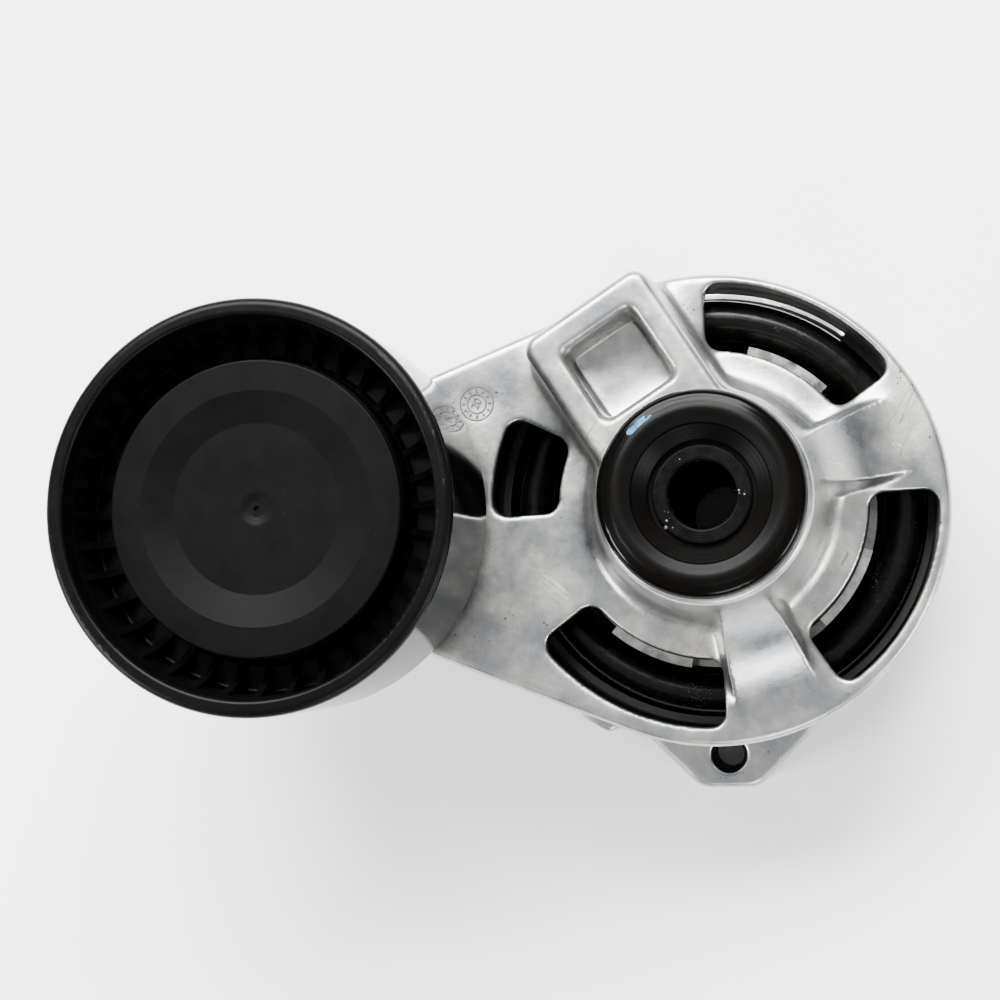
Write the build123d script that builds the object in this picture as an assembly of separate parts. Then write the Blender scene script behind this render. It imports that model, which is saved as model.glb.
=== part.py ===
from build123d import *
import os
from math import cos, degrees, pi, radians, sin, tan

# Automatic belt tensioner with a smooth idler pulley.
# Millimetres and degrees. The origin is on the pivot axis at the back mounting face.
# +Z points away from the engine block, along the pivot axis. At rest the pulley lies on -X.

# ------------------------------------------------------------------ driving dimensions

arm_length = 69.35              # pivot axis to pulley axis

# pivot: a steel tube, pressed into the base, that the centre bolt passes through
bolt_bore_radius = 5.35         # clearance for an M10 bolt
tube_wall = 2.45
tube_flange_width = 2.7
tube_flange_thickness = 2.5
tube_end_rise = 4.0             # of the tube's end above the hub
running_clearance = 0.05        # between a plastic bush and the tube
bush_wall = 1.55

# torsion spring
wire_diameter = 6.8
spring_mean_radius = 31.8
coil_gap = 0.8                  # between one coil and the next
spring_turns = 2.5
spring_top_angle = 125.0        # where the wire ends under the arm
spring_end_gap = 0.1            # from the lowest coil to its seat
spring_top_gap = 0.6            # from the highest coil to the arm

# base: a cast cup, with an ear, that is bolted to the engine
cup_wall = 2.4
cup_floor = 6.0
cup_rim_gap = 0.6               # from the end of the spring's wire down to the cup's rim
cup_spring_gap = 0.7            # from the coils to the cup's wall
liner_wall = 0.4
liner_flange = 0.5              # of the liner over the cup's rim
spring_seat_thickness = 1.5
tower_wall = 5.2                # boss around the tube, inside the cup
tower_height = 14.5
drum_wall = 3.2                 # wall that the damper ring rubs on
drum_rise = 0.5                 # of the drum above the cup's rim
ear_hole_offset = 4.5           # from the cup's wall to the hole's axis
ear_tip_offset = 5.75           # from the hole's axis to the ear's tip
ear_tip_radius = 4.6
ear_tip_spread = 3.2            # half the distance between the tip's two round corners
ear_thickness = 12.0
ear_sleeve_bore_radius = 2.6
ear_sleeve_wall = 0.55
ear_sleeve_recess = 0.6         # of the sleeve below the ear's face
lug_offset = 5.4                # by which the lug stands out of the cup's wall
lug_width = 8.0
lug_angle = 237.5
lug_height = 15.0
back_pocket_depth = 3.0
back_pocket_count = 8
back_pocket_corner = 2.5
back_rib_width = 3.4
back_hub_width = 7.0            # of flat face around the tube's flange
back_rim_width = 4.8

# arm: a cast cover over the cup, with a beam that carries the pulley
cover_overhang = 0.9            # of the cover, at the parting line, past the cup
cover_offset = (-0.35, -0.75)   # of the cover's outside from the pivot axis
plate_thickness = 4.0
parting_drop = 2.5              # of the parting line below the plate's top
plate_edge_round = 1.4
cover_gap = 1.0                 # between the cup's rim and the cover's skirt
skirt_wall = 2.6
skirt_draft = 1.5
beam_end_wall = 2.0             # of the beam's end past the bearing's inner ring
beam_wall = 2.8
beam_rib_width = 2.6
hub_rise = 20.0                 # of the hub's top above the plate
hub_wall = 7.6                  # at the hub's top
hub_flare = 2.4                 # by which the hub widens to its foot
hub_pad_width = 6.0
sleeve_wall = 4.1               # of the part of the hub inside the cup
window_inner_gap = 6.1          # from the hub's foot to the windows
window_outer_wall = 2.3         # from the windows to the cover's edge
window_corner = 2.6
window_spans = [(34.8, 90.5), (-56.0, 2.0), (217.0, 272.0), (154.0, 181.5)]
spoke_angles = [18.5, -73.0]
spoke_rim_half_widths = [7.4, 8.0]
spoke_hub_half_width = 2.2
spoke_draft = 8.0
spoke_start_drop = 2.0          # from the hub's top to where the ramp leaves it
spoke_end_gap = 5.0             # from where the ramp runs out to the cover's edge
spoke_sag = 3.6                 # by which the ramp dips under a straight line
drive_square = 13.0             # socket for a half-inch square drive
drive_depth = 9.0
drive_centre = (-12.8, 21.4)
drive_turn = 32.0
drive_wall = 4.8
drive_corner = 2.4              # of the block around the socket
drive_mouth = 0.8               # chamfer around the socket's mouth
drive_draft = 4.0
dial_radius = 3.0
dial_depth = 0.25
dial_centre = (-39.0, 18.4)
travel = 42.0                   # swing of the arm from the free stop to the loaded stop
stop_angle = 100.0
stop_width_angle = 12.0
stop_gap_angle = 0.4
stop_depth = 5.0

# steel disc that keeps the arm on the tube
disc_width = 8.35               # of the disc past the tube
disc_rise = 3.5                 # of the disc's rim above the tube's end
disc_step_width = 3.1           # from the tube to the step in the disc's face
disc_back_gap = 0.1
thrust_washer_thickness = 0.7
bush_flange = 1.0

# idler pulley and its ball bearing
pulley_diameter = 65.0
pulley_gap = 4.7                # from the arm's plate to the pulley's foot
pulley_width = 30.5
pulley_rim_wall = 2.8
pulley_draft = 0.5              # by which the rim's inside narrows towards the web
web_rise = 17.8                 # from the pulley's foot to the top of its web
web_thickness = 4.0
rib_count = 36
rib_thickness = 1.2
rib_drop = 3.8                  # from the lip to a rib's highest point
rib_low = 1.0                   # height of a rib above the web near the hub
rib_knee_width = 3.1            # from the rim to where a rib curves down
bearing_bore_radius = 8.5
bearing_ring_wall = 3.7
bearing_ring_space = 4.1        # between the inner ring and the outer ring
bearing_width = 12.0
bearing_rise = 5.3              # from the pulley's foot to the bearing's back
ball_bite = 1.32                # depth by which a ball sits in each ring
ball_count = 8
ball_gap = 0.15
pulley_hub_wall = 3.9
hub_lip = 1.3                   # by which the hub's two lips hold the bearing's outer ring
slinger_gap = 0.9               # from the slinger to the hub's lip
cap_edge = 0.4                  # of the pulley's hub that the cap leaves bare
cap_rise = 8.1                  # from the bearing's front to the cap's top
cap_thickness = 1.2
cap_dish = 1.1
cap_flat_width = 4.9            # of the ring around the cap's dish
cap_cone_width = 5.1
cap_skirt_length = 4.6
cap_gate_radius = 2.6           # of the dimple in the middle
cap_gate_depth = 0.3
bolt_radius = 4.0
bolt_length = 26.0
bolt_across_flats = 13.0
bolt_flange_width = 1.3         # of the bolt's flange past the bearing's bore
bolt_flange_thickness = 1.8
bolt_head_height = 5.2

# damper: a nylon ring with a steel band that has three bright tabs
damper_gap = 0.2
damper_ring_wall = 1.6
damper_band_wall = 1.5
damper_spring_gap = 1.1         # from the band to the coils
damper_floor_gap = 5.0          # from the cup's floor to the nylon ring
band_drop = 18.0                # from the underside of the arm to the band's edge
tab_angles = [60.0, 245.0, 326.5]
tab_width_angle = 31.0
tab_gap = 0.5

# ------------------------------------------------------------------ worked out from them

# radii about the pivot axis
tube_radius = bolt_bore_radius + tube_wall
tube_flange_radius = tube_radius + tube_flange_width
tower_radius = tube_radius + tower_wall
hub_bore_radius = tube_radius + running_clearance + bush_wall
sleeve_radius = hub_bore_radius + sleeve_wall
hub_top_radius = hub_bore_radius + hub_wall
hub_foot_radius = hub_top_radius + hub_flare
disc_radius = tube_radius + disc_width
spring_outer_radius = spring_mean_radius + wire_diameter / 2
spring_inner_radius = spring_mean_radius - wire_diameter / 2
band_outer_radius = spring_inner_radius - damper_spring_gap
band_inner_radius = band_outer_radius - damper_band_wall
damper_inner_radius = band_inner_radius - damper_ring_wall
drum_radius = damper_inner_radius - damper_gap
cup_inner_radius = spring_outer_radius + cup_spring_gap
cup_outer_radius = cup_inner_radius + cup_wall
cover_radius = cup_outer_radius + cover_overhang
skirt_inner = cover_radius - skirt_wall
window_inner_radius = hub_foot_radius + window_inner_gap
window_outer_radius = cover_radius - window_outer_wall
spoke_end_radius = cover_radius - spoke_end_gap
ear_hole_distance = cup_outer_radius + ear_hole_offset
ear_reach = ear_hole_distance + ear_tip_offset
lug_reach = cup_outer_radius + lug_offset
back_pocket_inner = tube_flange_radius + back_hub_width
back_pocket_outer = cup_outer_radius - back_rim_width

# heights above the mounting face
seat_top = cup_floor + spring_seat_thickness
spring_pitch = wire_diameter + coil_gap
spring_low = seat_top + spring_end_gap
plate_bottom = spring_low + wire_diameter + spring_pitch * spring_turns + spring_top_gap
plate_top = plate_bottom + plate_thickness
parting_height = plate_top - parting_drop
cup_height = plate_bottom - spring_top_gap - wire_diameter - cup_rim_gap
drum_height = cup_height + drum_rise
skirt_bottom = cup_height + cover_gap
damper_bottom = cup_floor + damper_floor_gap
band_height = plate_bottom - band_drop
sleeve_bottom = tower_height + bush_flange + disc_back_gap
hub_top = plate_top + hub_rise
spoke_start_height = hub_top - spoke_start_drop
tube_length = hub_top + tube_end_rise
disc_back = hub_top + bush_flange + thrust_washer_thickness + disc_back_gap
disc_top = tube_length + disc_rise

# pulley and bearing
pulley_radius = pulley_diameter / 2
pulley_foot = plate_top + pulley_gap
pulley_lip = pulley_foot + pulley_width
web_top = pulley_foot + web_rise
web_bottom = web_top - web_thickness
bearing_inner_rim = bearing_bore_radius + bearing_ring_wall
bearing_outer_rim = bearing_inner_rim + bearing_ring_space
bearing_outer_radius = bearing_outer_rim + bearing_ring_wall
bearing_back = pulley_foot + bearing_rise
bearing_front = bearing_back + bearing_width
bearing_middle = bearing_back + bearing_width / 2
pitch_radius = (bearing_bore_radius + bearing_outer_radius) / 2
ball_radius = bearing_ring_space / 2 + ball_bite
pulley_hub_radius = bearing_outer_radius + pulley_hub_wall
beam_end_radius = bearing_inner_rim + beam_end_wall
post_radius = beam_end_radius - 1
post_shoulder = bearing_back - 1.1
cap_radius = pulley_hub_radius - cap_edge
cap_top = bearing_front + cap_rise
cap_seat = cap_top - cap_thickness
bolt_flange_radius = bearing_bore_radius + bolt_flange_width

beam_cross_rib_x = -(cover_radius + arm_length - beam_end_radius) / 2

overshoot = 1.0                 # by which a cutting shape runs past what it cuts


# ------------------------------------------------------------------ helpers

def ring(inner, outer, low, high):
    """A plain ring about the pivot axis."""
    disc = Cylinder(outer, high - low, align=(Align.CENTER, Align.CENTER, Align.MIN))
    hole = Cylinder(inner, high - low, align=(Align.CENTER, Align.CENTER, Align.MIN))
    return Pos(0, 0, low) * (disc - hole)


def post(radius, low, high):
    """A plain cylinder about the pivot axis."""
    return Pos(0, 0, low) * Cylinder(radius, high - low, align=(Align.CENTER, Align.CENTER, Align.MIN))


def turned(corners, rounds):
    """A turned body. corners are (radius, height) and rounds gives some corners a fillet."""
    radii = [rounds.get(index, 0) for index in range(len(corners))]
    points = [(radius, 0, height) for radius, height in corners]
    outline = FilletPolyline(*points, radius=radii, close=True)
    return revolve(make_face(outline), Axis.Z)


def polar(radius, angle):
    """The point at this radius and angle."""
    return (radius * cos(radians(angle)), radius * sin(radians(angle)))


def sector(inner, outer, start, end, corner):
    """A flat piece of a ring between two angles, with rounded corners."""
    middle = (start + end) / 2
    sides = [
        Line(polar(inner, start), polar(outer, start)),
        ThreePointArc(polar(outer, start), polar(outer, middle), polar(outer, end)),
        Line(polar(outer, end), polar(inner, end)),
        ThreePointArc(polar(inner, end), polar(inner, middle), polar(inner, start)),
    ]
    face = make_face(sides)
    if corner > 0:
        face = fillet(face.vertices(), corner)
    return face


def sector_block(inner, outer, start, end, low, high, corner=0):
    """A sector raised between two heights."""
    return extrude(Pos(0, 0, low) * sector(inner, outer, start, end, corner), high - low)


def at_pulley(shape):
    """Moves a shape made about the pivot axis to the pulley's axis."""
    return Pos(-arm_length, 0, 0) * shape


# ------------------------------------------------------------------ base

def ear_outline():
    """The ear runs tangent from the cup's round wall to two small tip corners."""
    tip_y = -(ear_reach - ear_tip_radius)
    round_wall = Circle(cup_outer_radius - 0.4)
    left_tip = Pos(-ear_tip_spread, tip_y) * Circle(ear_tip_radius)
    right_tip = Pos(ear_tip_spread, tip_y) * Circle(ear_tip_radius)
    return make_hull(round_wall.edges() + left_tip.edges() + right_tip.edges())


def base_housing():
    cup = turned(
        [
            (tube_radius, 0),
            (cup_outer_radius - 0.5, 0),
            (cup_outer_radius, cup_height),
            (tube_radius, cup_height),
        ],
        {1: 1.5, 2: 0.4},
    )
    ear = extrude(ear_outline(), ear_thickness)
    ear = fillet(ear.edges().group_by(Axis.Z)[-1], 1.2)
    lug_length = lug_reach - cup_inner_radius
    lug = extrude(RectangleRounded(2 * lug_length, lug_width, 2.0), lug_height)
    lug = fillet(lug.edges().group_by(Axis.Z)[-1], 1.0)
    lug = Rot(0, 0, lug_angle) * Pos(cup_inner_radius, 0, 0) * lug
    body = cup + ear + lug

    inside = turned(
        [
            (tower_radius, cup_floor),
            (drum_radius - drum_wall, cup_floor),
            (drum_radius - drum_wall, drum_height),
            (drum_radius, drum_height),
            (drum_radius, cup_floor),
            (cup_inner_radius, cup_floor),
            (cup_inner_radius, cup_height + 2 * overshoot),
            (0, cup_height + 2 * overshoot),
            (0, tower_height),
            (tower_radius, tower_height),
        ],
        {0: 1.5, 1: 1.5, 9: 0.5},
    )
    body -= inside
    body += ring(drum_radius - drum_wall, drum_radius, cup_floor, drum_height)

    # a block on the floor takes the push of the spring's lower end
    block_start = spring_top_angle - 360 * spring_turns
    body += sector_block(
        spring_inner_radius + 0.2, cup_inner_radius + 0.5,
        block_start - 14, block_start - 0.3, cup_floor - 0.5, seat_top + wire_diameter,
    )

    # the rim is cut away where the arm's stop lug swings
    half = stop_width_angle / 2
    body -= sector_block(
        cup_inner_radius - overshoot, cup_outer_radius + overshoot,
        stop_angle - half - travel - stop_gap_angle, stop_angle + half + stop_gap_angle,
        cup_height - stop_depth, cup_height + overshoot,
    )

    # lightening pockets leave a flush hub, rim and ribs on the mounting face
    pocket_step = 360 / back_pocket_count
    rib_angle = degrees(back_rib_width / ((back_pocket_inner + back_pocket_outer) / 2))
    for index in range(back_pocket_count):
        start = 90 + index * pocket_step + rib_angle / 2
        end = 90 + (index + 1) * pocket_step - rib_angle / 2
        body -= sector_block(
            back_pocket_inner, back_pocket_outer, start, end,
            -overshoot, back_pocket_depth, back_pocket_corner,
        )
    body -= post(tube_flange_radius, -overshoot, tube_flange_thickness)
    body -= post(tube_radius, -overshoot, cup_height)
    ear_hole = post(ear_sleeve_bore_radius + ear_sleeve_wall, -overshoot, ear_thickness + overshoot)
    body -= Pos(0, -ear_hole_distance, 0) * ear_hole
    return body


def ear_sleeve():
    outer = ear_sleeve_bore_radius + ear_sleeve_wall
    sleeve = turned(
        [
            (ear_sleeve_bore_radius, 0),
            (outer, 0),
            (outer, ear_thickness - ear_sleeve_recess),
            (ear_sleeve_bore_radius, ear_thickness - ear_sleeve_recess),
        ],
        {2: 0.2, 3: 0.3},
    )
    return Pos(0, -ear_hole_distance, 0) * sleeve


def pivot_tube():
    tube = turned(
        [
            (bolt_bore_radius, 0),
            (tube_flange_radius, 0),
            (tube_flange_radius, tube_flange_thickness),
            (tube_radius, tube_flange_thickness),
            (tube_radius, tube_length),
            (bolt_bore_radius, tube_length),
        ],
        {4: 0.5, 5: 0.4},
    )
    return tube


def front_disc():
    """Dished steel disc, pressed on the end of the tube."""
    return turned(
        [
            (tube_radius, disc_back),
            (disc_radius - 1.7, disc_back),
            (disc_radius, disc_back + 2.6),
            (disc_radius, disc_top - 1.2),
            (disc_radius - 3.2, disc_top + 0.2),
            (tube_radius + disc_step_width, disc_top - 0.7),
            (tube_radius + disc_step_width - 0.2, disc_top - 1.15),
            (tube_radius + 0.6, tube_length + 0.3),
            (tube_radius + 0.6, tube_length - 0.9),
            (tube_radius, tube_length - 0.9),
        ],
        {1: 0.6, 2: 0.6, 3: 1.6, 4: 2.0, 5: 0.1, 6: 0.3, 7: 0.4},
    )


def spring_seat():
    return ring(drum_radius + 0.3, cup_inner_radius - 0.1, cup_floor, seat_top) - sector_block(
        drum_radius, cup_inner_radius + overshoot,
        spring_top_angle - 360 * spring_turns - 15, spring_top_angle - 360 * spring_turns,
        cup_floor - overshoot, seat_top + overshoot,
    )


def cup_liner():
    """Thin plastic liner that keeps the coils off the cup's wall and covers its rim."""
    low = seat_top + wire_diameter + 0.2
    top = cup_height + liner_flange
    inner = cup_inner_radius - liner_wall
    body = ring(inner, cup_inner_radius, low, top)
    body += ring(inner, cup_outer_radius - 0.6, cup_height, top)
    half = stop_width_angle / 2 + stop_gap_angle
    return body - sector_block(
        inner - overshoot, cup_outer_radius + overshoot,
        stop_angle - half - travel, stop_angle + half,
        cup_height - stop_depth - 0.3, top + overshoot,
    )


def torsion_spring():
    rise = spring_pitch * spring_turns
    path = Helix(spring_pitch, rise, spring_mean_radius)
    start = Plane(origin=path @ 0, z_dir=path % 0)
    coil = sweep(start * Circle(wire_diameter / 2), path=path, is_frenet=True)
    first_angle = spring_top_angle - 360 * spring_turns
    return Pos(0, 0, spring_low + wire_diameter / 2) * Rot(0, 0, first_angle) * coil


# ------------------------------------------------------------------ arm

def beam_outline(round_radius, end_radius):
    """Two circles joined by their outer tangents."""
    cover = Pos(*cover_offset) * Circle(round_radius)
    end = Pos(-arm_length, 0) * Circle(end_radius)
    return make_hull(cover.edges() + end.edges())


def cover_plate():
    """The cover and beam, rounded above the parting line and drafted below it."""
    outline = beam_outline(cover_radius, beam_end_radius)
    upper = extrude(Pos(0, 0, parting_height) * outline, plate_top - parting_height)
    upper = fillet(upper.edges().group_by(Axis.Z)[-1], plate_edge_round)
    lower = extrude(Pos(0, 0, parting_height) * outline, skirt_bottom - parting_height, taper=skirt_draft)
    return upper + lower


def arm_hub():
    return turned(
        [
            (hub_bore_radius, plate_bottom),
            (hub_foot_radius + hub_pad_width, plate_bottom),
            (hub_foot_radius + hub_pad_width, plate_top),
            (hub_foot_radius, plate_top),
            (hub_top_radius, hub_top),
            (hub_bore_radius, hub_top),
        ],
        {3: 3.5, 4: 1.2},
    )


def arm_spoke(angle, rim_half_width):
    """A drafted rib whose top ramps down from the hub to the plate."""
    height = hub_top - plate_bottom
    lean = height * tan(radians(spoke_draft))
    hub_half = spoke_hub_half_width + lean
    near = sleeve_radius - 2
    far = spoke_end_radius + 3
    plan = make_face(Polyline(
        (near - lean, -hub_half), (far, -rim_half_width),
        (far, rim_half_width), (near - lean, hub_half), close=True,
    ))
    rib = extrude(Pos(0, 0, plate_bottom) * plan, height, taper=spoke_draft)
    start = (hub_top_radius, 0, spoke_start_height)
    end = (spoke_end_radius, 0, plate_top)
    dip = spoke_sag * sin(radians(45))
    middle = ((start[0] + end[0]) / 2 - dip, 0, (start[2] + end[2]) / 2 - dip)
    above = Polyline(
        end,
        (far + 10, 0, plate_top - 2),
        (far + 10, 0, hub_top + 10),
        (0, 0, hub_top + 10),
        (0, 0, spoke_start_height),
        start,
    )
    ramp = make_face([ThreePointArc(start, middle, end), *above.edges()])
    rib -= extrude(ramp, 20, both=True)
    return Rot(0, 0, angle) * rib


def drive_boss():
    """Raised block that runs into the hub and holds the square drive socket."""
    half = drive_square / 2 + drive_wall
    height = hub_top - plate_bottom
    back = (drive_centre[0] ** 2 + drive_centre[1] ** 2) ** 0.5
    grow = height * tan(radians(drive_draft))
    plan = Pos(0, (half - back) / 2) * RectangleRounded(
        2 * (half + grow), back + half + 2 * grow, drive_corner + grow)
    block = extrude(Pos(0, 0, plate_bottom) * plan, height, taper=drive_draft)
    block = fillet(block.edges().group_by(Axis.Z)[-1], 1.5)
    return Pos(*drive_centre, 0) * Rot(0, 0, drive_turn) * block


def drive_socket():
    socket = extrude(RectangleRounded(drive_square, drive_square, 1.0), drive_depth + overshoot)
    wide = drive_square + 2 * drive_mouth
    mouth = extrude(RectangleRounded(wide, wide, 1.0 + drive_mouth), -drive_mouth, taper=45)
    socket += Pos(0, 0, drive_depth) * mouth
    return Pos(*drive_centre, hub_top - drive_depth) * Rot(0, 0, drive_turn) * socket


def pulley_post():
    """The end of the beam, with a shoulder and a spigot for the bearing's inner ring."""
    shoulder_radius = bearing_inner_rim - 0.2
    return at_pulley(turned(
        [
            (0, skirt_bottom),
            (post_radius, skirt_bottom),
            (post_radius, plate_top - 1),
            (shoulder_radius, plate_top - 1),
            (shoulder_radius, post_shoulder),
            (bearing_bore_radius, post_shoulder),
            (bearing_bore_radius, bearing_front - 0.8),
            (0, bearing_front - 0.8),
        ],
        {6: 0.5},
    ))


def tension_arm():
    body = cover_plate() + drive_boss()
    for angle, half_width in zip(spoke_angles, spoke_rim_half_widths):
        body += arm_spoke(angle, half_width)
    body += arm_hub()

    # hollow under the cover and under the beam
    body -= post(skirt_inner, skirt_bottom - overshoot, plate_bottom)
    pocket = beam_outline(cover_radius - beam_wall, beam_end_radius - beam_wall)
    pocket -= Circle(cover_radius + 0.4)
    pocket -= Pos(-arm_length, 0) * Circle(post_radius)
    pocket -= Pos(-arm_length / 2, 0) * Rectangle(arm_length, beam_rib_width)
    pocket -= Pos(beam_cross_rib_x, 0) * Rectangle(beam_rib_width, 2 * cover_radius)
    pocket_height = plate_bottom - skirt_bottom
    body -= extrude(Pos(0, 0, skirt_bottom - overshoot) * pocket, pocket_height + overshoot)

    # the sleeve carries the bushes inside the cup
    body += turned(
        [
            (hub_bore_radius, sleeve_bottom),
            (sleeve_radius, sleeve_bottom),
            (sleeve_radius, plate_bottom),
            (sleeve_radius + 6, plate_bottom),
            (sleeve_radius + 6, plate_bottom + 1),
            (hub_bore_radius, plate_bottom + 1),
        ],
        {1: 0.8, 2: 2.5},
    )
    body += pulley_post()

    # stop lug, and the block that the spring's upper end pushes
    half = stop_width_angle / 2
    body += sector_block(
        skirt_inner + 0.2, cup_outer_radius, stop_angle - half, stop_angle + half,
        cup_height - stop_depth + 0.6, skirt_bottom + 2,
    )
    body += sector_block(
        spring_inner_radius + 0.2, skirt_inner + 0.5,
        spring_top_angle + 0.3, spring_top_angle + 13,
        plate_bottom - wire_diameter, plate_bottom + 0.5,
    )

    for start, end in window_spans:
        body -= sector_block(
            window_inner_radius, window_outer_radius, start, end,
            plate_bottom - overshoot, hub_top + overshoot, window_corner,
        )
    body -= post(hub_bore_radius, sleeve_bottom - overshoot, hub_top + overshoot)
    body -= at_pulley(post(bolt_radius, bearing_front - bolt_length - 1, bearing_front))
    body -= drive_socket()
    body -= Pos(*dial_centre, plate_top - dial_depth) * post(dial_radius, 0, overshoot)
    return body


def pivot_bush_front():
    """Flanged plastic bush in the front half of the hub."""
    inner = tube_radius + running_clearance
    return ring(inner, hub_bore_radius, plate_bottom + 3, hub_top + bush_flange) + ring(
        inner, hub_top_radius - 2.5, hub_top, hub_top + bush_flange)


def pivot_bush_rear():
    """Flanged plastic bush in the end of the sleeve."""
    inner = tube_radius + running_clearance
    low = sleeve_bottom - bush_flange
    return ring(inner, hub_bore_radius, low, plate_bottom - 4) + ring(
        inner, sleeve_radius - 0.5, low, sleeve_bottom)


def thrust_washer():
    low = hub_top + bush_flange
    return ring(tube_radius + 0.3, hub_top_radius - 2.2, low, low + thrust_washer_thickness)


def damper_ring():
    """Nylon friction ring, keyed to the arm, that rubs on the base's drum."""
    return ring(damper_inner_radius, band_inner_radius, damper_bottom, plate_bottom)


def damper_band():
    """Steel band around the nylon ring, with tabs that stand up under the windows."""
    band = ring(band_inner_radius, band_outer_radius, damper_bottom + 2, band_height)
    for middle in tab_angles:
        band += sector_block(
            band_inner_radius, band_outer_radius,
            middle - tab_width_angle / 2, middle + tab_width_angle / 2,
            band_height - 1, plate_bottom - tab_gap,
        )
    return band


# ------------------------------------------------------------------ pulley bolt and bearing

def pulley_bolt():
    """Flange bolt with a low hexagon head."""
    flange_top = bearing_front + bolt_flange_thickness
    bolt = turned(
        [
            (0, bearing_front - bolt_length),
            (bolt_radius, bearing_front - bolt_length),
            (bolt_radius, bearing_front),
            (bolt_flange_radius, bearing_front),
            (bolt_flange_radius, bearing_front + 0.8),
            (bolt_across_flats / 2, flange_top),
            (0, flange_top),
        ],
        {1: 0.8},
    )
    corner_radius = bolt_across_flats / 2 / cos(pi / 6)
    head = extrude(
        Pos(0, 0, flange_top - 0.5) * RegularPolygon(corner_radius, 6),
        bolt_head_height - bolt_flange_thickness + 0.5,
    )
    dome = turned(
        [
            (0, bearing_front), (corner_radius + 1, bearing_front),
            (corner_radius + 1, bearing_front + bolt_head_height - 1.5),
            (corner_radius - 1.2, bearing_front + bolt_head_height),
            (0, bearing_front + bolt_head_height),
        ],
        {},
    )
    return at_pulley(bolt + (head & dome))


def ball_groove():
    """The torus that the two races and the balls share."""
    return Pos(0, 0, bearing_middle) * Torus(pitch_radius, ball_radius + ball_gap)


def bearing_ring(inner, outer):
    body = ring(inner, outer, bearing_back, bearing_front)
    rims = body.edges().filter_by(GeomType.CIRCLE)
    body = fillet(rims, 0.4)
    return body - ball_groove()


def bearing_inner_ring():
    return at_pulley(bearing_ring(bearing_bore_radius, bearing_inner_rim))


def bearing_outer_ring():
    return at_pulley(bearing_ring(bearing_outer_rim, bearing_outer_radius))


def ball_places():
    return [Rot(0, 0, 360 * index / ball_count) * Pos(pitch_radius, 0, bearing_middle)
            for index in range(ball_count)]


def bearing_balls():
    balls = [at_pulley(place * Sphere(ball_radius)) for place in ball_places()]
    return Compound(children=balls)


def ball_cage():
    """Crown cage: a ring with a pocket for each ball, open towards the back."""
    body = ring(pitch_radius - 1.15, pitch_radius + 1.15, bearing_middle - 2.2, bearing_middle + 4.5)
    for place in ball_places():
        body -= place * Sphere(ball_radius + ball_gap)
        body -= place * Pos(0, 0, -3) * Cylinder(2.6, 6)
    return at_pulley(body)


def bearing_seal(low):
    return at_pulley(ring(bearing_inner_rim + 0.25, bearing_outer_rim, low, low + 0.8))


def rear_slinger():
    """Stepped steel washer between the post and the bearing, which throws off water."""
    return at_pulley(turned(
        [
            (bearing_bore_radius, post_shoulder),
            (bearing_outer_radius - hub_lip - slinger_gap, post_shoulder),
            (bearing_outer_radius - hub_lip - slinger_gap, post_shoulder + 0.6),
            (bearing_inner_rim - 0.3, post_shoulder + 0.6),
            (bearing_inner_rim - 0.3, bearing_back),
            (bearing_bore_radius, bearing_back),
        ],
        {},
    ))


# ------------------------------------------------------------------ pulley

def pulley_pockets(floor, mouth):
    """The spaces between the ribs on one side of the web."""
    rim = pulley_radius - pulley_rim_wall - pulley_draft - 0.1
    hub = pulley_hub_radius + 0.25
    outline = FilletPolyline(
        (rim, 0, floor), (rim + 0.3, 0, mouth), (hub - 0.2, 0, mouth), (hub, 0, floor),
        radius=[0.8, 0, 0, 0.8], close=True,
    )
    step = 360 / rib_count
    rib_angle = degrees(rib_thickness / rim)
    pocket = revolve(make_face(outline), Axis.Z, step - rib_angle)
    return [Rot(0, 0, index * step + rib_angle / 2) * pocket for index in range(rib_count)]


def idler_pulley():
    """Rim, web and hub, with gussets whose edges curve down from the rim to the web."""
    rim_inner = pulley_radius - pulley_rim_wall
    rib_rim = rim_inner - 0.15
    rib_knee = rim_inner - rib_knee_width
    rib_curve = min(4.0, 1.54 * (rib_knee - pulley_hub_radius))
    lip_inner = bearing_outer_radius - hub_lip
    hub_back = bearing_back - 1.8
    body = turned(
        [
            (lip_inner, hub_back),
            (pulley_hub_radius - 0.3, hub_back),
            (pulley_hub_radius + 0.1, web_bottom - rib_low),
            (rib_knee, web_bottom - rib_low - 0.3),
            (rib_rim, pulley_foot + rib_drop),
            (rim_inner, pulley_foot),
            (pulley_radius, pulley_foot),
            (pulley_radius, pulley_lip),
            (rim_inner, pulley_lip),
            (rib_rim, pulley_lip - rib_drop),
            (rib_knee, web_top + rib_low + 0.3),
            (pulley_hub_radius + 0.1, web_top + rib_low),
            (pulley_hub_radius - 0.3, cap_seat),
            (bearing_outer_radius - 0.1, cap_seat),
            (bearing_outer_radius - 0.1, bearing_front + 1.4),
            (lip_inner + 0.4, bearing_front + 1.4),
            (lip_inner + 0.4, bearing_front),
            (bearing_outer_radius, bearing_front),
            (bearing_outer_radius, bearing_back),
            (lip_inner, bearing_back),
        ],
        {1: 0.5, 3: rib_curve, 5: 0.5, 6: 0.8, 7: 1.3, 8: 0.7, 10: rib_curve},
    )
    body -= pulley_pockets(web_top, pulley_lip - rib_drop + 0.5)
    body -= pulley_pockets(web_bottom, pulley_foot + rib_drop - 0.5)
    return at_pulley(body)


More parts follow.
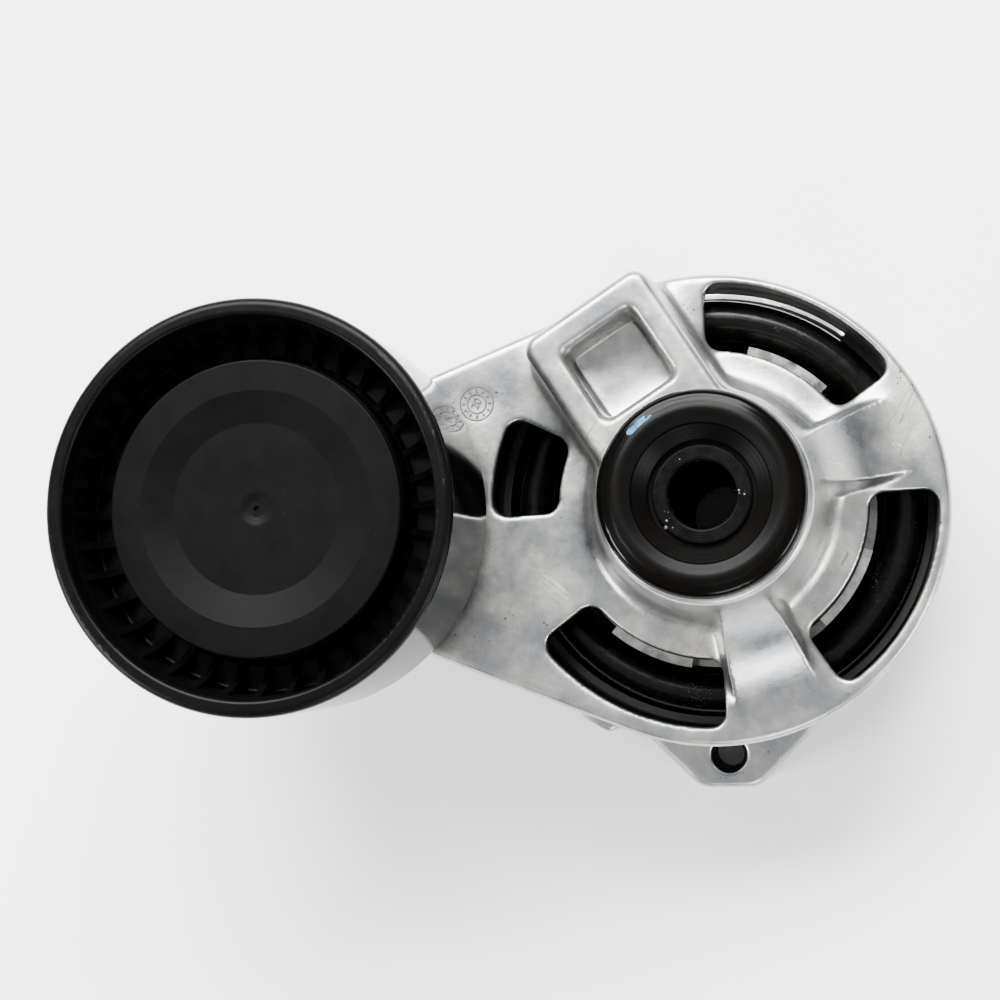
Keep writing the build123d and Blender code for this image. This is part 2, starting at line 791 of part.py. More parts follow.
def dust_cap():
    """Plastic cap, dished in the middle, that clips into the pulley's hub."""
    dish_top = cap_top - cap_dish
    dish_edge = cap_radius - cap_flat_width
    dish_floor = dish_edge - cap_cone_width
    snap_outer = bearing_outer_radius - 0.15
    snap_inner = snap_outer - cap_thickness
    snap_bottom = cap_seat - cap_skirt_length
    cap = turned(
        [
            (0, dish_top - cap_thickness),
            (dish_floor - 0.3, dish_top - cap_thickness),
            (min(dish_edge - 0.4, snap_inner - 0.4), cap_top - cap_thickness),
            (snap_inner, cap_top - cap_thickness),
            (snap_inner, snap_bottom),
            (snap_outer, snap_bottom),
            (snap_outer, cap_seat),
            (cap_radius, cap_seat),
            (cap_radius, cap_top),
            (dish_edge, cap_top),
            (dish_floor, dish_top),
            (cap_gate_radius, dish_top),
            (cap_gate_radius / 2, dish_top - cap_gate_depth),
            (0.45, dish_top - cap_gate_depth),
            (0.4, dish_top - cap_gate_depth - 0.45),
            (0, dish_top - cap_gate_depth - 0.45),
        ],
        {4: 0.2, 5: 0.5, 8: 0.4, 9: 0.4, 10: 0.4, 11: 2.0, 12: 1.2},
    )
    return at_pulley(cap)


# ------------------------------------------------------------------ write the pieces

pieces = {
    "base_housing": base_housing,
    "ear_sleeve": ear_sleeve,
    "pivot_tube": pivot_tube,
    "front_disc": front_disc,
    "spring_seat": spring_seat,
    "cup_liner": cup_liner,
    "torsion_spring": torsion_spring,
    "tension_arm": tension_arm,
    "pivot_bush_front": pivot_bush_front,
    "pivot_bush_rear": pivot_bush_rear,
    "thrust_washer": thrust_washer,
    "damper_ring": damper_ring,
    "damper_band": damper_band,
    "pulley_bolt": pulley_bolt,
    "rear_slinger": rear_slinger,
    "bearing_inner_ring": bearing_inner_ring,
    "bearing_balls": bearing_balls,
    "ball_cage": ball_cage,
    "bearing_outer_ring": bearing_outer_ring,
    "bearing_seal_front": lambda: bearing_seal(bearing_front - 1.1),
    "bearing_seal_rear": lambda: bearing_seal(bearing_back + 0.3),
    "idler_pulley": idler_pulley,
    "dust_cap": dust_cap,
}

os.makedirs("parts", exist_ok=True)
for name, make in pieces.items():
    solid = make()
    export_step(solid, f"parts/{name}.step")
    print(f"{name}: {solid.volume / 1000:.2f} cm3")
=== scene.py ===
from math import cos, pi, radians, sin

import bpy
import numpy as np
from mathutils import Matrix, Vector, noise


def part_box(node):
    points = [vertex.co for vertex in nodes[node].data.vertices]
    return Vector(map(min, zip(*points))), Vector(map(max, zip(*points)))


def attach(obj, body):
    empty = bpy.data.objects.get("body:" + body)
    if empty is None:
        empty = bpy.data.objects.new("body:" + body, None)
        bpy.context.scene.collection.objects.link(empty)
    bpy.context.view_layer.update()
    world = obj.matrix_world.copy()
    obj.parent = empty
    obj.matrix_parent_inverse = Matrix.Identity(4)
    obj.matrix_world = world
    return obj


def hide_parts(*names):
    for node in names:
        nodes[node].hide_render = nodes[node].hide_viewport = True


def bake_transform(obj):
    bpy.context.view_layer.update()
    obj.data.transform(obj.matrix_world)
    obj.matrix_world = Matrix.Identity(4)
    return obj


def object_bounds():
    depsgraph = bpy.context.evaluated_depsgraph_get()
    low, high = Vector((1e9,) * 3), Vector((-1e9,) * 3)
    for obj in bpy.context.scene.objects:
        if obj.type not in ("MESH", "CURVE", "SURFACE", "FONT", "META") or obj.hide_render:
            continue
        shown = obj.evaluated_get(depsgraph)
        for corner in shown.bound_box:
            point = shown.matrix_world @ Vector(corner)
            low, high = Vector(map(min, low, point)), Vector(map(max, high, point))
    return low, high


# %% [markdown]
# # A belt tensioner in cast aluminium, steel and black nylon
# The real part keeps an engine's belt tight. A cast arm swings on a steel tube, a coil spring
# pushes it, and a smooth pulley at its end rolls on the belt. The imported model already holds
# every piece in its place, in metres, so this lesson only gives the pieces their surfaces and
# the small marks that casting, turning and handling leave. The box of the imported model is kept
# first, because nothing added later may grow out of it.

# %% Load the frame and keep its box
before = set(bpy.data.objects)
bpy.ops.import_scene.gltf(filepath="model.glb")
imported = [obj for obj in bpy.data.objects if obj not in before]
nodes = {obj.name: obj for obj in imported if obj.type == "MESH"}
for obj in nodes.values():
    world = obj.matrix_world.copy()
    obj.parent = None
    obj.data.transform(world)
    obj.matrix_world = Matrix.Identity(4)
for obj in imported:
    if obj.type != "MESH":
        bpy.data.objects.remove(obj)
cad_box = [list(corner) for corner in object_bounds()]
MM = 0.001
print("nodes", len(nodes), "box", cad_box)

# %% [markdown]
# ## Where the main axes are
# Two axes matter: the pivot, which is the frame's own Z axis, and the pulley's axis. The second
# is read from the pulley's own box, so it follows the model if the arm is ever made longer.
# Heights that the marks sit on are read from the boxes of their pieces in the same way.

# %% Find the axes and heights
low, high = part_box("idler_pulley")
pulley_axis = Vector(((low.x + high.x) / 2, (low.y + high.y) / 2, 0))
pulley_radius = (high.y - low.y) / 2
disc_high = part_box("front_disc")[1]
disc_radius = disc_high.x
cover_centre = Vector((-0.35, -0.75, 0)) * MM
cover_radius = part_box("tension_arm")[1].x - cover_centre.x
base_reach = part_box("base_housing")[1].x
cup_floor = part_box("spring_seat")[0].z
plate_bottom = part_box("damper_ring")[1].z
plate_thickness = 4.0 * MM
parting_depth = 2.5 * MM
unshaded_wall = 1.3 * MM        # how deep the base's outer side stays free of the painted shade
plate_top = plate_bottom + plate_thickness
parting_height = plate_top - parting_depth
print("pulley axis", pulley_axis.to_tuple(5), "cover radius", round(cover_radius, 5))

# %% Helper: a new object in the scene
def shown(name, data):
    piece = bpy.data.objects.new(name, data)
    bpy.context.scene.collection.objects.link(piece)
    return piece


print("object helper ready")

# %% [markdown]
# ## Shared effects as node groups
# Several finishes need the same few effects. Each one is built once as a group that takes a
# scale or an amount and puts out a mask or a height, and every material then places it with its
# own values. All of them read object coordinates. These are the frame's metres, so a scale of
# 1000 means a feature about one millimetre across.

# %% Helper: an empty group with named sockets
def new_group(name, inputs, outputs):
    group = bpy.data.node_groups.new(name, "ShaderNodeTree")
    for label, kind, value in inputs:
        socket = group.interface.new_socket(label, in_out="INPUT", socket_type=kind)
        if value is not None:
            socket.default_value = value
    for label, kind in outputs:
        group.interface.new_socket(label, in_out="OUTPUT", socket_type=kind)
    entry = group.nodes.new("NodeGroupInput")
    leave = group.nodes.new("NodeGroupOutput")
    return group, entry, leave


def add(tree, kind, **settings):
    """Adds a node and sets its properties and, by socket name, its plain input values."""
    node = tree.nodes.new(kind)
    for key, value in settings.items():
        if hasattr(node, key):
            setattr(node, key, value)
        else:
            node.inputs[key.replace("_", " ")].default_value = value
    return node


def object_place(tree):
    return tree.nodes.new("ShaderNodeTexCoord").outputs["Object"]


def join(tree, source, target):
    tree.links.new(source, target)


print("group helpers ready")

# %% [markdown]
# ### Mottle
# Cast metal and moulded plastic are never one even tone. Two layers of noise, one broad and one
# fine, give a soft cloud that runs from 0 to 1.

# %% Group: mottle
mottle, entry, leave = new_group(
    "mottle",
    [("Scale", "NodeSocketFloat", 300.0), ("Contrast", "NodeSocketFloat", 1.0)],
    [("Mask", "NodeSocketFloat")],
)
place = object_place(mottle)
broad = add(mottle, "ShaderNodeTexNoise", Detail=6.0, Roughness=0.62)
join(mottle, place, broad.inputs["Vector"])
join(mottle, entry.outputs["Scale"], broad.inputs["Scale"])
centred = add(mottle, "ShaderNodeMath", operation="SUBTRACT")
centred.inputs[1].default_value = 0.5
join(mottle, broad.outputs["Fac"], centred.inputs[0])
stretched = add(mottle, "ShaderNodeMath", operation="MULTIPLY_ADD", use_clamp=True)
stretched.inputs[2].default_value = 0.5
join(mottle, centred.outputs[0], stretched.inputs[0])
join(mottle, entry.outputs["Contrast"], stretched.inputs[1])
join(mottle, stretched.outputs[0], leave.inputs["Mask"])
print("group", mottle.name)

# %% [markdown]
# ### Specks
# Small pits in a casting and dust on plastic are both scattered round dots. A Voronoi pattern
# gives the distance to scattered points, and the dots are where it falls under a chosen size.

# %% Group: specks
specks, entry, leave = new_group(
    "specks",
    [("Scale", "NodeSocketFloat", 700.0), ("Size", "NodeSocketFloat", 0.12)],
    [("Mask", "NodeSocketFloat")],
)
place = object_place(specks)
cells = add(specks, "ShaderNodeTexVoronoi")
join(specks, place, cells.inputs["Vector"])
join(specks, entry.outputs["Scale"], cells.inputs["Scale"])
cloud = add(specks, "ShaderNodeTexNoise", Scale=130.0, Detail=4.0)
join(specks, place, cloud.inputs["Vector"])
patchy = add(specks, "ShaderNodeMapRange")
patchy.inputs["From Min"].default_value = 0.48
patchy.inputs["From Max"].default_value = 0.72
join(specks, cloud.outputs["Fac"], patchy.inputs["Value"])
limit = add(specks, "ShaderNodeMath", operation="MULTIPLY")
join(specks, patchy.outputs["Result"], limit.inputs[0])
join(specks, entry.outputs["Size"], limit.inputs[1])
inward = add(specks, "ShaderNodeMath", operation="SUBTRACT")
join(specks, limit.outputs[0], inward.inputs[0])
join(specks, cells.outputs["Distance"], inward.inputs[1])
fade = add(specks, "ShaderNodeMapRange")
fade.inputs["From Max"].default_value = 0.1
join(specks, inward.outputs[0], fade.inputs["Value"])
join(specks, fade.outputs["Result"], leave.inputs["Mask"])
print("group", specks.name)

# %% [markdown]
# ### Scratches
# Handling leaves short thin lines. Noise that is stretched a long way in one direction and then
# cut to a narrow band gives such lines, and turning the pattern gives their direction.

# %% Group: scratches
scratches, entry, leave = new_group(
    "scratches",
    [("Scale", "NodeSocketFloat", 160.0), ("Turn", "NodeSocketFloat", 0.6),
     ("Width", "NodeSocketFloat", 0.012)],
    [("Mask", "NodeSocketFloat")],
)
place = object_place(scratches)
turned = add(scratches, "ShaderNodeVectorRotate", rotation_type="Z_AXIS")
join(scratches, place, turned.inputs["Vector"])
join(scratches, entry.outputs["Turn"], turned.inputs["Angle"])
squeezed = add(scratches, "ShaderNodeVectorMath", operation="MULTIPLY")
squeezed.inputs[1].default_value = (0.05, 1.0, 0.3)
join(scratches, turned.outputs[0], squeezed.inputs[0])
streak = add(scratches, "ShaderNodeTexNoise", Detail=1.0, Roughness=0.4)
join(scratches, squeezed.outputs[0], streak.inputs["Vector"])
join(scratches, entry.outputs["Scale"], streak.inputs["Scale"])
away = add(scratches, "ShaderNodeMath", operation="SUBTRACT")
away.inputs[1].default_value = 0.5
join(scratches, streak.outputs["Fac"], away.inputs[0])
distance = add(scratches, "ShaderNodeMath", operation="ABSOLUTE")
join(scratches, away.outputs[0], distance.inputs[0])
thin = add(scratches, "ShaderNodeMath", operation="LESS_THAN")
join(scratches, distance.outputs[0], thin.inputs[0])
join(scratches, entry.outputs["Width"], thin.inputs[1])
rare = add(scratches, "ShaderNodeTexNoise", Scale=110.0, Detail=1.0)
join(scratches, place, rare.inputs["Vector"])
where = add(scratches, "ShaderNodeMath", operation="GREATER_THAN")
where.inputs[1].default_value = 0.62
join(scratches, rare.outputs["Fac"], where.inputs[0])
both = add(scratches, "ShaderNodeMath", operation="MULTIPLY")
join(scratches, thin.outputs[0], both.inputs[0])
join(scratches, where.outputs[0], both.inputs[1])
join(scratches, both.outputs[0], leave.inputs["Mask"])
print("group", scratches.name)

# %% [markdown]
# ### Turned rings
# A lathe leaves fine grooves around the axis. The distance from an axis, put through a sine,
# gives rings of one spacing, and a little noise keeps them from looking printed.

# %% Group: turned rings
rings, entry, leave = new_group(
    "turned_rings",
    [("Axis", "NodeSocketVector", None), ("Spacing", "NodeSocketFloat", 0.0006)],
    [("Height", "NodeSocketFloat")],
)
place = object_place(rings)
offset = add(rings, "ShaderNodeVectorMath", operation="SUBTRACT")
join(rings, place, offset.inputs[0])
join(rings, entry.outputs["Axis"], offset.inputs[1])
flat = add(rings, "ShaderNodeVectorMath", operation="MULTIPLY")
flat.inputs[1].default_value = (1.0, 1.0, 0.0)
join(rings, offset.outputs[0], flat.inputs[0])
radius = add(rings, "ShaderNodeVectorMath", operation="LENGTH")
join(rings, flat.outputs[0], radius.inputs[0])
count = add(rings, "ShaderNodeMath", operation="DIVIDE")
join(rings, radius.outputs["Value"], count.inputs[0])
join(rings, entry.outputs["Spacing"], count.inputs[1])
wobble = add(rings, "ShaderNodeTexNoise", Scale=350.0, Detail=2.0)
join(rings, place, wobble.inputs["Vector"])
mixed = add(rings, "ShaderNodeMath", operation="ADD")
join(rings, count.outputs[0], mixed.inputs[0])
join(rings, wobble.outputs["Fac"], mixed.inputs[1])
whole = add(rings, "ShaderNodeMath", operation="MULTIPLY")
whole.inputs[1].default_value = 2 * pi
join(rings, mixed.outputs[0], whole.inputs[0])
wave = add(rings, "ShaderNodeMath", operation="SINE")
join(rings, whole.outputs[0], wave.inputs[0])
join(rings, wave.outputs[0], leave.inputs["Height"])
print("group", rings.name)

# %% [markdown]
# ### Within a radius
# Some surfaces change with their distance from an axis: the insides of the castings are painted
# dark as shade, and the running face of the pulley is polished. This group gives 1 inside a
# radius and 0 outside it, with a short fade between them, and only between two chosen heights.

# %% Group: within a radius
within, entry, leave = new_group(
    "within_radius",
    [("Axis", "NodeSocketVector", None), ("Radius", "NodeSocketFloat", 0.03),
     ("Fade", "NodeSocketFloat", 0.0003), ("Above", "NodeSocketFloat", -1.0),
     ("Below", "NodeSocketFloat", 1.0)],
    [("Mask", "NodeSocketFloat")],
)
place = object_place(within)
offset = add(within, "ShaderNodeVectorMath", operation="SUBTRACT")
join(within, place, offset.inputs[0])
join(within, entry.outputs["Axis"], offset.inputs[1])
flat = add(within, "ShaderNodeVectorMath", operation="MULTIPLY")
flat.inputs[1].default_value = (1.0, 1.0, 0.0)
join(within, offset.outputs[0], flat.inputs[0])
reach = add(within, "ShaderNodeVectorMath", operation="LENGTH")
join(within, flat.outputs[0], reach.inputs[0])
short = add(within, "ShaderNodeMath", operation="SUBTRACT")
join(within, entry.outputs["Radius"], short.inputs[0])
join(within, reach.outputs["Value"], short.inputs[1])
soft = add(within, "ShaderNodeMath", operation="DIVIDE", use_clamp=True)
join(within, short.outputs[0], soft.inputs[0])
join(within, entry.outputs["Fade"], soft.inputs[1])
split = add(within, "ShaderNodeSeparateXYZ")
join(within, place, split.inputs[0])
inside = soft.outputs[0]
for upper, lower in (
        (entry.outputs["Below"], split.outputs["Z"]), (split.outputs["Z"], entry.outputs["Above"])):
    room = add(within, "ShaderNodeMath", operation="SUBTRACT")
    join(within, upper, room.inputs[0])
    join(within, lower, room.inputs[1])
    deep = add(within, "ShaderNodeMath", operation="DIVIDE", use_clamp=True)
    join(within, room.outputs[0], deep.inputs[0])
    join(within, entry.outputs["Fade"], deep.inputs[1])
    both = add(within, "ShaderNodeMath", operation="MULTIPLY")
    join(within, inside, both.inputs[0])
    join(within, deep.outputs[0], both.inputs[1])
    inside = both.outputs[0]
join(within, inside, leave.inputs["Mask"])
print("group", within.name)

# %% [markdown]
# ## Building a finish
# Every finish here has the same skeleton: a base tone that a mottle moves between two colours,
# a roughness that the same mottle moves between two values, and a bump. Numbers that are the
# same all over, such as the metalness and the gloss, are set on the shader itself.

# %% Helper: the skeleton of a finish
def use(tree, group, **values):
    node = tree.nodes.new("ShaderNodeGroup")
    node.node_tree = group
    for key, value in values.items():
        node.inputs[key].default_value = value
    return node


def between(tree, mask, first, second):
    """Runs from the first value to the second as the mask goes from 0 to 1."""
    span = add(tree, "ShaderNodeMapRange")
    span.inputs["To Min"].default_value = first
    span.inputs["To Max"].default_value = second
    join(tree, mask, span.inputs["Value"])
    return span.outputs["Result"]


def tint(tree, mask, first, second):
    mix = add(tree, "ShaderNodeMix", data_type="RGBA")
    join(tree, mask, mix.inputs["Factor"])
    for index, colour in ((6, first), (7, second)):
        if hasattr(colour, "is_output"):
            join(tree, colour, mix.inputs[index])
        else:
            mix.inputs[index].default_value = (*colour, 1.0)
    return mix.outputs[2]


def finish_of(
        name, dark, light, rough, metallic=0.0, scale=300.0, contrast=1.4, bump=0.15,
        depth=0.00005, gloss=0.5):
    """A finish with a mottled tone and roughness: the material, its tree, shader and bump."""
    material = bpy.data.materials.new(name)
    material.use_nodes = True
    tree = material.node_tree
    shader = tree.nodes["Principled BSDF"]
    shader.inputs["Metallic"].default_value = metallic
    shader.inputs["Specular IOR Level"].default_value = gloss
    cloud = use(tree, mottle, Scale=scale, Contrast=contrast)
    mask = cloud.outputs["Mask"]
    join(tree, tint(tree, mask, dark, light), shader.inputs["Base Color"])
    join(tree, between(tree, mask, rough[0], rough[1]), shader.inputs["Roughness"])
    relief = add(tree, "ShaderNodeBump", Strength=bump, Distance=depth)
    fine = use(tree, mottle, Scale=scale * 5, Contrast=1.0)
    join(tree, fine.outputs["Mask"], relief.inputs["Height"])
    join(tree, relief.outputs[0], shader.inputs["Normal"])
    return material, tree, shader, relief


def overlay(tree, shader, mask, colour):
    """Lays a second colour over the base colour where the mask is 1."""
    under_colour = shader.inputs["Base Color"].links[0].from_socket
    join(tree, tint(tree, mask, under_colour, colour), shader.inputs["Base Color"])


def ringed(tree, shader, relief, axis, spacing, strength, depth):
    """Adds turned rings on top of a finish's own bump."""
    grooves = use(tree, rings, Axis=axis, Spacing=spacing)
    lathe = add(tree, "ShaderNodeBump", Strength=strength, Distance=depth)
    join(tree, grooves.outputs["Height"], lathe.inputs["Height"])
    join(tree, relief.outputs[0], lathe.inputs["Normal"])
    join(tree, lathe.outputs[0], shader.inputs["Normal"])


print("finish helpers ready")

# %% [markdown]
# ## Die-cast aluminium
# A raw die casting is a light, slightly cloudy grey. It has small dark pits, and handling has
# drawn bright and dark lines over it. It is metal, but a rough one, so it shows soft
# highlights and no clear reflections.

# %% Finish: die-cast aluminium
cast_metal, tree, shader, relief = finish_of(
    "die_cast_aluminium", (0.27, 0.285, 0.305), (0.53, 0.515, 0.475), (0.26, 0.42),
    metallic=0.95, scale=110.0, contrast=2.6, bump=0.45, depth=0.00010)
grain = use(tree, mottle, Scale=2600.0, Contrast=2.2)
overlay(tree, shader, between(tree, grain.outputs["Mask"], 0.20, 0.0), (0.10, 0.10, 0.105))
stain = use(tree, mottle, Scale=420.0, Contrast=3.4)
tone = between(tree, stain.outputs["Mask"], 0.38, 0.0)
overlay(tree, shader, tone, (0.17, 0.175, 0.185))
pits = use(tree, specks, Scale=900.0, Size=0.30)
overlay(tree, shader, pits.outputs["Mask"], (0.07, 0.07, 0.075))
marks = use(tree, scratches, Scale=420.0, Turn=0.7, Width=0.004)
overlay(tree, shader, between(tree, marks.outputs["Mask"], 0.0, 0.55), (0.80, 0.80, 0.81))
scuffs = use(tree, scratches, Scale=300.0, Turn=2.1, Width=0.004)
overlay(tree, shader, between(tree, scuffs.outputs["Mask"], 0.0, 0.6), (0.10, 0.10, 0.10))
# Painted shade: below the plate's top, the inside of the cover is coloured almost black.
painted_inner_shade = use(
    tree, within, Axis=tuple(cover_centre), Radius=cover_radius - 1.9 * MM, Fade=0.0005,
    Below=plate_top - 0.8 * MM)
overlay(tree, shader, painted_inner_shade.outputs["Mask"], (0.010, 0.010, 0.009))
print("finish", cast_metal.name)

# %% Finish: the base's casting, whose cup is painted dark inside as shade
base_metal = cast_metal.copy()
base_metal.name = "die_cast_base"
# Painted shade: the inside of the cup and most of its rim are coloured almost black.
for node in base_metal.node_tree.nodes:
    if node.type == "GROUP" and node.node_tree == within:
        node.inputs["Axis"].default_value = (0, 0, 0)
        node.inputs["Radius"].default_value = base_reach - unshaded_wall
        node.inputs["Fade"].default_value = 0.1 * MM
        node.inputs["Above"].default_value = cup_floor - 0.6 * MM
        node.inputs["Below"].default_value = plate_top
print("finish", base_metal.name)

# %% [markdown]
# ## Black steel
# The disc on the end of the pivot is oiled black steel. It is glossy enough to mirror the room,
# and its lathe rings break the mirror into arcs. The tube inside it is duller and greyer, with
# nicks on its end. The spring is painted black, with light specks in its colour that are a painted
# glint.

# %% Finish: black steel, tube steel and spring paint
disc_black, tree, shader, relief = finish_of(
    "oiled_black_steel", (0.0006, 0.00055, 0.0005), (0.0014, 0.0012, 0.0010), (0.12, 0.20),
    scale=260.0, bump=0.05, gloss=0.06)
recess = use(
    tree, within, Axis=(0, 0, 0), Radius=disc_radius - 1.6 * MM, Fade=0.0012, Below=1.0)
edge_gloss = shader.inputs["Roughness"].links[0].from_socket
dulled = add(tree, "ShaderNodeMix", data_type="FLOAT")
join(tree, recess.outputs["Mask"], dulled.inputs["Factor"])
join(tree, edge_gloss, dulled.inputs["A"])
dulled.inputs["B"].default_value = 0.42
join(tree, dulled.outputs["Result"], shader.inputs["Roughness"])
ringed(tree, shader, relief, (0, 0, 0), 0.0007, 0.10, 0.00003)

tube_grey, tree, shader, relief = finish_of(
    "dark_tube_steel", (0.0006, 0.0006, 0.00055), (0.003, 0.0029, 0.0027), (0.36, 0.5),
    scale=420.0, contrast=2.2, bump=0.3, gloss=0.03)
nicks = use(tree, specks, Scale=1100.0, Size=0.42)
overlay(tree, shader, nicks.outputs["Mask"], (0.12, 0.115, 0.11))
ringed(tree, shader, relief, (0, 0, 0), 0.0004, 0.2, 0.00003)

spring_black, tree, shader, relief = finish_of(
    "spring_paint", (0.0006, 0.0006, 0.0005), (0.0022, 0.002, 0.0017), (0.17, 0.28),
    scale=650.0, contrast=2.4, bump=0.35, depth=0.00006, gloss=0.16)
# Painted glints: light specks in the spring's colour.
painted_glints = use(tree, specks, Scale=2200.0, Size=0.34)
overlay(tree, shader, painted_glints.outputs["Mask"], (0.03, 0.028, 0.026))
print("finishes", disc_black.name, tube_grey.name, spring_black.name)

# %% [markdown]
# ## Bright steel
# The band inside the spring is bare rolled strip, and its tabs shine through the windows. The
# bearing's rings are ground, and the bolt is zinc plated, with a slightly warmer tone.

# %% Finish: strip, bearing steel and zinc
strip_steel, tree, shader, relief = finish_of(
    "rolled_strip", (0.16, 0.16, 0.155), (0.50, 0.49, 0.47), (0.20, 0.36),
    metallic=1.0, scale=240.0, contrast=3.2, bump=0.25)
rolling = use(tree, scratches, Scale=420.0, Turn=0.0, Width=0.02)
overlay(tree, shader, rolling.outputs["Mask"], (0.36, 0.36, 0.36))

ground_steel, tree, shader, relief = finish_of(
    "ground_bearing_steel", (0.48, 0.48, 0.49), (0.60, 0.60, 0.61), (0.12, 0.2),
    metallic=1.0, scale=500.0, bump=0.05)
ringed(tree, shader, relief, tuple(pulley_axis), 0.0003, 0.1, 0.00002)

zinc = finish_of(
    "zinc_plate", (0.40, 0.39, 0.35), (0.60, 0.58, 0.52), (0.26, 0.42),
    metallic=1.0, scale=380.0, bump=0.2)[0]
print("finishes", strip_steel.name, ground_steel.name, zinc.name)

# %% [markdown]
# ## Black nylon
# The pulley is moulded in a satin black that shows broad, soft reflections. The cap is a duller
# black, and a little dust shows on it. Bushes, cage and liners are plain moulded plastic.

# %% Finish: pulley, cap, inner nylon, bush and seal
pulley_black, tree, shader, relief = finish_of(
    "satin_black_nylon", (0.0007, 0.0007, 0.0007), (0.0014, 0.0014, 0.0014), (0.30, 0.42),
    scale=240.0, bump=0.1, gloss=0.06)
dust = use(tree, specks, Scale=1400.0, Size=0.12)
overlay(tree, shader, dust.outputs["Mask"], (0.03, 0.03, 0.03))
moulded = use(
    tree, within, Axis=tuple(pulley_axis), Radius=pulley_radius - 0.12 * MM, Fade=0.0002, Below=1.0)
satin = shader.inputs["Roughness"].links[0].from_socket
polish = add(tree, "ShaderNodeMix", data_type="FLOAT")
join(tree, moulded.outputs["Mask"], polish.inputs["Factor"])
polish.inputs["A"].default_value = 0.09
join(tree, satin, polish.inputs["B"])
join(tree, polish.outputs["Result"], shader.inputs["Roughness"])

cap_black, tree, shader, relief = finish_of(
    "matt_black_nylon", (0.0010, 0.00105, 0.00105), (0.0019, 0.0020, 0.0020), (0.38, 0.50),
    scale=200.0, bump=0.2, gloss=0.04)
dust = use(tree, specks, Scale=1300.0, Size=0.12)
overlay(tree, shader, dust.outputs["Mask"], (0.05, 0.05, 0.05))
ringed(tree, shader, relief, tuple(pulley_axis), 0.0009, 0.04, 0.00002)

inner_nylon = finish_of(
    "inner_nylon", (0.003, 0.003, 0.003), (0.007, 0.007, 0.007), (0.42, 0.6),
    scale=400.0, gloss=0.25)[0]
bush_brown = finish_of(
    "bush_plastic", (0.05, 0.045, 0.036), (0.09, 0.08, 0.065), (0.38, 0.52), scale=400.0)[0]
seal_black = finish_of(
    "seal_rubber", (0.012, 0.012, 0.013), (0.022, 0.022, 0.023), (0.55, 0.7),
    scale=500.0, bump=0.25)[0]
print("finishes", pulley_black.name, cap_black.name, inner_nylon.name)

# %% [markdown]
# ## Giving each piece its finish
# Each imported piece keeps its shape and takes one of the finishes. A list in words is easier to
# check than a rule, so every piece is named once.

# %% Assign the finishes
finishes = {
    cast_metal: ["tension_arm"],
    base_metal: ["base_housing"],
    disc_black: ["front_disc"],
    tube_grey: ["pivot_tube", "ear_sleeve"],
    spring_black: ["torsion_spring"],
    strip_steel: ["damper_band"],
    ground_steel: ["bearing_inner_ring", "bearing_outer_ring", "bearing_balls"],
    zinc: ["pulley_bolt", "rear_slinger"],
    pulley_black: ["idler_pulley"],
    cap_black: ["dust_cap"],
    inner_nylon: ["spring_seat", "cup_liner", "damper_ring", "ball_cage"],
    bush_brown: ["pivot_bush_front", "pivot_bush_rear", "thrust_washer"],
    seal_black: ["bearing_seal_front", "bearing_seal_rear"],
}
for finish, names in finishes.items():
    for name in names:
        nodes[name].data.materials.clear()
        nodes[name].data.materials.append(finish)
unpainted = sorted(set(nodes) - {name for names in finishes.values() for name in names})
print("pieces without a finish:", unpainted)

# %% [markdown]
# ## Soft corners on the castings
# A die rounds inside corners far more than outside ones, because metal has to flow round them.
# The mesh is copied, rebuilt from small even cells and smoothed a little, which takes the
# sharpness off every edge. Then its points are moved towards the middle of their neighbours
# again and again, but only where that moves them out of the metal. This fills the inside
# corners with a soft fillet and leaves the outside ones crisp. Each point stays inside the
# box of the drawn piece, and bores and seats are left alone.

# %% Helper: rebuild a casting from even cells
def evaluated_mesh(piece):
    graph = bpy.context.evaluated_depsgraph_get()
    return bpy.data.meshes.new_from_object(piece.evaluated_get(graph), depsgraph=graph)


def rebuilt(node, name, cell, rounds):
    piece = shown(name, nodes[node].data.copy())
    rebuild = piece.modifiers.new("cells", "REMESH")
    rebuild.mode = "VOXEL"
    rebuild.voxel_size = cell
    soften = piece.modifiers.new("soften", "SMOOTH")
    soften.factor = 0.5
    soften.iterations = rounds
    result = evaluated_mesh(piece)
    piece.modifiers.clear()
    piece.data = result
    return piece


print("rebuild helper ready")

# %% Helper: fill the inside corners
def points_of(mesh):
    places = np.empty(len(mesh.vertices) * 3, np.float32)
    mesh.vertices.foreach_get("co", places)
    return places.reshape(-1, 3).astype(float)


def filled(piece, node, free, times):
    """Fills inside corners, where free says how far each point may be moved, from 0 to 1."""
    mesh = piece.data
    places = points_of(mesh)
    ends = np.empty(len(mesh.edges) * 2, np.int32)
    mesh.edges.foreach_get("vertices", ends)
    first, second = ends.reshape(-1, 2).T
    count = len(places)
    joined = np.bincount(first, minlength=count) + np.bincount(second, minlength=count)
    normals = np.empty(count * 3, np.float32)
    mesh.vertex_normals.foreach_get("vector", normals)
    normals = normals.reshape(-1, 3).astype(float)
    allowed = free(places)[:, None]
    for _ in range(times):
        total = np.stack([
            np.bincount(first, places[second, axis], count)
            + np.bincount(second, places[first, axis], count)
            for axis in range(3)], axis=1)
        move = total / joined[:, None] - places
        outward = (move * normals).sum(1, keepdims=True)
        places += 0.6 * allowed * np.maximum(outward, 0) * normals
    lowest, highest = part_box(node)
    places = np.clip(places, np.array(lowest), np.array(highest))
    mesh.vertices.foreach_set("co", places.astype(np.float32).ravel())
    mesh.update()


def dressed(piece, node, body, finish):
    piece.data.materials.clear()
    piece.data.materials.append(finish)
    piece.data.polygons.foreach_set("use_smooth", [True] * len(piece.data.polygons))
    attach(piece, body)
    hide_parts(node)
    print(piece.name, "faces", len(piece.data.polygons))


print("fill helper ready")

# %% Soften the arm
casting_cell = 0.42 * MM   # of the even cells that both castings are rebuilt from
casting_rounds = 3         # of smoothing


